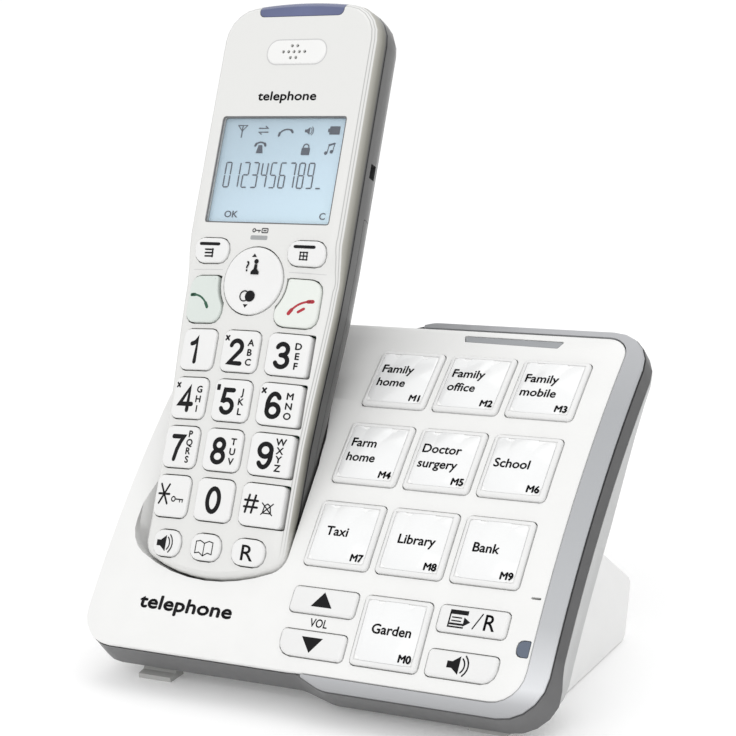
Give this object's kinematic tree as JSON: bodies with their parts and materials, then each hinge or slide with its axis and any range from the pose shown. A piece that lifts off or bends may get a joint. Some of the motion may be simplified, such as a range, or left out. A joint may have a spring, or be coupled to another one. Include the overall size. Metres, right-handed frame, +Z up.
{
  "type": "cordless phone with base",
  "caption": "Cordless telephone handset leaning in the cradle of a sloping desk base with large memory keys beside it.",
  "frame": {"origin": "on the desk, below the middle of the whole set's bounding box", "axes": "+Z up from the desk, -Y towards the user, +X to the user's right; the handset stands on the left of the memory keys"},
  "size_m": [0.138, 0.1062, 0.1667],
  "materials": {
    "white": "glossy",
    "key_white": "satin",
    "pale": "satin",
    "silver": "silver paint",
    "dark": "satin",
    "grey": "satin",
    "rubber": "matte",
    "contact": "nickel plated",
    "board": "solder mask",
    "speaker": "matte",
    "bar_lens": "translucent",
    "charge_lens": "translucent",
    "blue_lens": "translucent",
    "green_key": "satin",
    "red_key": "satin",
    "window": "clear plastic window",
    "display": "liquid crystal display",
    "cell": "printed sleeve"
  },
  "bodies": {
    "base": {"base_circuit_board": "board", "base_speaker": "speaker", "bottom_housing": "pale", "call_indicator_lens": "bar_lens", "charge_contact_left": "contact", "charge_contact_right": "contact", "charge_indicator_lens": "charge_lens", "desk_stand": "pale", "foot_front_left": "rubber", "foot_front_right": "rubber", "foot_rear_left": "rubber", "foot_rear_right": "rubber", "key_mat": "rubber", "middle_frame": "dark", "silver_trim": "silver", "top_housing": "white"},
    "handset": {"handset_front_housing": "white", "handset_indicator_lens": "blue_lens", "handset_rear_housing": "grey", "battery_cover": "grey", "display_window": "window", "display_module": "display", "handset_circuit_board": "board", "earpiece_speaker": "speaker", "battery_left": "cell", "battery_right": "cell"},
    "base_speaker_key": {"base_speaker_key": "key_white"},
    "call_key": {"call_key": "green_key"},
    "digit_key_0": {"digit_key_0": "key_white"},
    "digit_key_1": {"digit_key_1": "key_white"},
    "digit_key_2": {"digit_key_2": "key_white"},
    "digit_key_3": {"digit_key_3": "key_white"},
    "digit_key_4": {"digit_key_4": "key_white"},
    "digit_key_5": {"digit_key_5": "key_white"},
    "digit_key_6": {"digit_key_6": "key_white"},
    "digit_key_7": {"digit_key_7": "key_white"},
    "digit_key_8": {"digit_key_8": "key_white"},
    "digit_key_9": {"digit_key_9": "key_white"},
    "digit_key_hash": {"digit_key_hash": "key_white"},
    "digit_key_star": {"digit_key_star": "key_white"},
    "end_key": {"end_key": "red_key"},
    "handset_book_key": {"handset_book_key": "key_white"},
    "handset_recall_key": {"handset_recall_key": "key_white"},
    "handset_speaker_key": {"handset_speaker_key": "key_white"},
    "memory_key_0": {"memory_key_0": "key_white"},
    "memory_key_1": {"memory_key_1": "key_white"},
    "memory_key_2": {"memory_key_2": "key_white"},
    "memory_key_3": {"memory_key_3": "key_white"},
    "memory_key_4": {"memory_key_4": "key_white"},
    "memory_key_5": {"memory_key_5": "key_white"},
    "memory_key_6": {"memory_key_6": "key_white"},
    "memory_key_7": {"memory_key_7": "key_white"},
    "memory_key_8": {"memory_key_8": "key_white"},
    "memory_key_9": {"memory_key_9": "key_white"},
    "navigation_key": {"navigation_key": "key_white"},
    "recall_key": {"recall_key": "key_white"},
    "soft_key_left": {"soft_key_left": "key_white"},
    "soft_key_right": {"soft_key_right": "key_white"},
    "volume_down_key": {"volume_down_key": "key_white"},
    "volume_up_key": {"volume_up_key": "key_white"}
  },
  "joints": [
    {"name": "handset_lift", "type": "slide", "parent": "base", "child": "handset", "axis": [0, 0.4879, 0.8729], "range_m": [0, 0.09]},
    {"name": "navigation_key_rock", "type": "hinge", "parent": "handset", "child": "navigation_key", "pos_m": [-0.0351, 0.00213, 0.09764], "axis": [1, 0, 0], "range_deg": [-4, 4], "stiffness_Nm_per_rad": 0.15},
    {"name": "memory_key_7_press", "type": "slide", "parent": "base", "child": "memory_key_7", "axis": [0, 0.6992, -0.715], "range_m": [0, 0.0008], "stiffness_N_per_m": 600, "springref_m": -0.0005},
    {"name": "memory_key_8_press", "type": "slide", "parent": "base", "child": "memory_key_8", "axis": [0, 0.6992, -0.715], "range_m": [0, 0.0008], "stiffness_N_per_m": 600, "springref_m": -0.0005},
    {"name": "memory_key_9_press", "type": "slide", "parent": "base", "child": "memory_key_9", "axis": [0, 0.6992, -0.715], "range_m": [0, 0.0008], "stiffness_N_per_m": 600, "springref_m": -0.0005},
    {"name": "memory_key_4_press", "type": "slide", "parent": "base", "child": "memory_key_4", "axis": [0, 0.6434, -0.7656], "range_m": [0, 0.0008], "stiffness_N_per_m": 600, "springref_m": -0.0005},
    {"name": "memory_key_5_press", "type": "slide", "parent": "base", "child": "memory_key_5", "axis": [0, 0.6434, -0.7656], "range_m": [0, 0.0008], "stiffness_N_per_m": 600, "springref_m": -0.0005},
    {"name": "memory_key_6_press", "type": "slide", "parent": "base", "child": "memory_key_6", "axis": [0, 0.6434, -0.7656], "range_m": [0, 0.0008], "stiffness_N_per_m": 600, "springref_m": -0.0005},
    {"name": "memory_key_1_press", "type": "slide", "parent": "base", "child": "memory_key_1", "axis": [0, 0.5839, -0.8118], "range_m": [0, 0.0008], "stiffness_N_per_m": 600, "springref_m": -0.0005},
    {"name": "memory_key_2_press", "type": "slide", "parent": "base", "child": "memory_key_2", "axis": [0, 0.5839, -0.8118], "range_m": [0, 0.0008], "stiffness_N_per_m": 600, "springref_m": -0.0005},
    {"name": "memory_key_3_press", "type": "slide", "parent": "base", "child": "memory_key_3", "axis": [0, 0.5839, -0.8118], "range_m": [0, 0.0008], "stiffness_N_per_m": 600, "springref_m": -0.0005},
    {"name": "memory_key_0_press", "type": "slide", "parent": "base", "child": "memory_key_0", "axis": [0, 0.7518, -0.6594], "range_m": [0, 0.0008], "stiffness_N_per_m": 600, "springref_m": -0.0005},
    {"name": "volume_up_key_press", "type": "slide", "parent": "base", "child": "volume_up_key", "axis": [0, 0.7397, -0.673], "range_m": [0, 0.0008], "stiffness_N_per_m": 600, "springref_m": -0.0005},
    {"name": "volume_down_key_press", "type": "slide", "parent": "base", "child": "volume_down_key", "axis": [0, 0.7635, -0.6458], "range_m": [0, 0.0008], "stiffness_N_per_m": 600, "springref_m": -0.0005},
    {"name": "recall_key_press", "type": "slide", "parent": "base", "child": "recall_key", "axis": [0, 0.7397, -0.673], "range_m": [0, 0.0008], "stiffness_N_per_m": 600, "springref_m": -0.0005},
    {"name": "base_speaker_key_press", "type": "slide", "parent": "base", "child": "base_speaker_key", "axis": [0, 0.7635, -0.6458], "range_m": [0, 0.0008], "stiffness_N_per_m": 600, "springref_m": -0.0005},
    {"name": "digit_key_0_press", "type": "slide", "parent": "handset", "child": "digit_key_0", "axis": [0, 0.8729, -0.4879], "range_m": [0, 0.0008], "stiffness_N_per_m": 600, "springref_m": -0.0005},
    {"name": "digit_key_1_press", "type": "slide", "parent": "handset", "child": "digit_key_1", "axis": [0, 0.8729, -0.4879], "range_m": [0, 0.0008], "stiffness_N_per_m": 600, "springref_m": -0.0005},
    {"name": "digit_key_2_press", "type": "slide", "parent": "handset", "child": "digit_key_2", "axis": [0, 0.8729, -0.4879], "range_m": [0, 0.0008], "stiffness_N_per_m": 600, "springref_m": -0.0005},
    {"name": "digit_key_3_press", "type": "slide", "parent": "handset", "child": "digit_key_3", "axis": [0, 0.8729, -0.4879], "range_m": [0, 0.0008], "stiffness_N_per_m": 600, "springref_m": -0.0005},
    {"name": "digit_key_4_press", "type": "slide", "parent": "handset", "child": "digit_key_4", "axis": [0, 0.8729, -0.4879], "range_m": [0, 0.0008], "stiffness_N_per_m": 600, "springref_m": -0.0005},
    {"name": "digit_key_5_press", "type": "slide", "parent": "handset", "child": "digit_key_5", "axis": [0, 0.8729, -0.4879], "range_m": [0, 0.0008], "stiffness_N_per_m": 600, "springref_m": -0.0005},
    {"name": "digit_key_6_press", "type": "slide", "parent": "handset", "child": "digit_key_6", "axis": [0, 0.8729, -0.4879], "range_m": [0, 0.0008], "stiffness_N_per_m": 600, "springref_m": -0.0005},
    {"name": "digit_key_7_press", "type": "slide", "parent": "handset", "child": "digit_key_7", "axis": [0, 0.8729, -0.4879], "range_m": [0, 0.0008], "stiffness_N_per_m": 600, "springref_m": -0.0005},
    {"name": "digit_key_8_press", "type": "slide", "parent": "handset", "child": "digit_key_8", "axis": [0, 0.8729, -0.4879], "range_m": [0, 0.0008], "stiffness_N_per_m": 600, "springref_m": -0.0005},
    {"name": "digit_key_9_press", "type": "slide", "parent": "handset", "child": "digit_key_9", "axis": [0, 0.8729, -0.4879], "range_m": [0, 0.0008], "stiffness_N_per_m": 600, "springref_m": -0.0005},
    {"name": "digit_key_star_press", "type": "slide", "parent": "handset", "child": "digit_key_star", "axis": [0, 0.8729, -0.4879], "range_m": [0, 0.0008], "stiffness_N_per_m": 600, "springref_m": -0.0005},
    {"name": "digit_key_hash_press", "type": "slide", "parent": "handset", "child": "digit_key_hash", "axis": [0, 0.8729, -0.4879], "range_m": [0, 0.0008], "stiffness_N_per_m": 600, "springref_m": -0.0005},
    {"name": "handset_speaker_key_press", "type": "slide", "parent": "handset", "child": "handset_speaker_key", "axis": [0, 0.8729, -0.4879], "range_m": [0, 0.0008], "stiffness_N_per_m": 600, "springref_m": -0.0005},
    {"name": "handset_book_key_press", "type": "slide", "parent": "handset", "child": "handset_book_key", "axis": [0, 0.8729, -0.4879], "range_m": [0, 0.0008], "stiffness_N_per_m": 600, "springref_m": -0.0005},
    {"name": "handset_recall_key_press", "type": "slide", "parent": "handset", "child": "handset_recall_key", "axis": [0, 0.8729, -0.4879], "range_m": [0, 0.0008], "stiffness_N_per_m": 600, "springref_m": -0.0005},
    {"name": "soft_key_left_press", "type": "slide", "parent": "handset", "child": "soft_key_left", "axis": [0, 0.8729, -0.4879], "range_m": [0, 0.0008], "stiffness_N_per_m": 600, "springref_m": -0.0005},
    {"name": "soft_key_right_press", "type": "slide", "parent": "handset", "child": "soft_key_right", "axis": [0, 0.8729, -0.4879], "range_m": [0, 0.0008], "stiffness_N_per_m": 600, "springref_m": -0.0005},
    {"name": "call_key_press", "type": "slide", "parent": "handset", "child": "call_key", "axis": [0, 0.8729, -0.4879], "range_m": [0, 0.0008], "stiffness_N_per_m": 600, "springref_m": -0.0005},
    {"name": "end_key_press", "type": "slide", "parent": "handset", "child": "end_key", "axis": [0, 0.8729, -0.4879], "range_m": [0, 0.0008], "stiffness_N_per_m": 600, "springref_m": -0.0005}
  ]
}
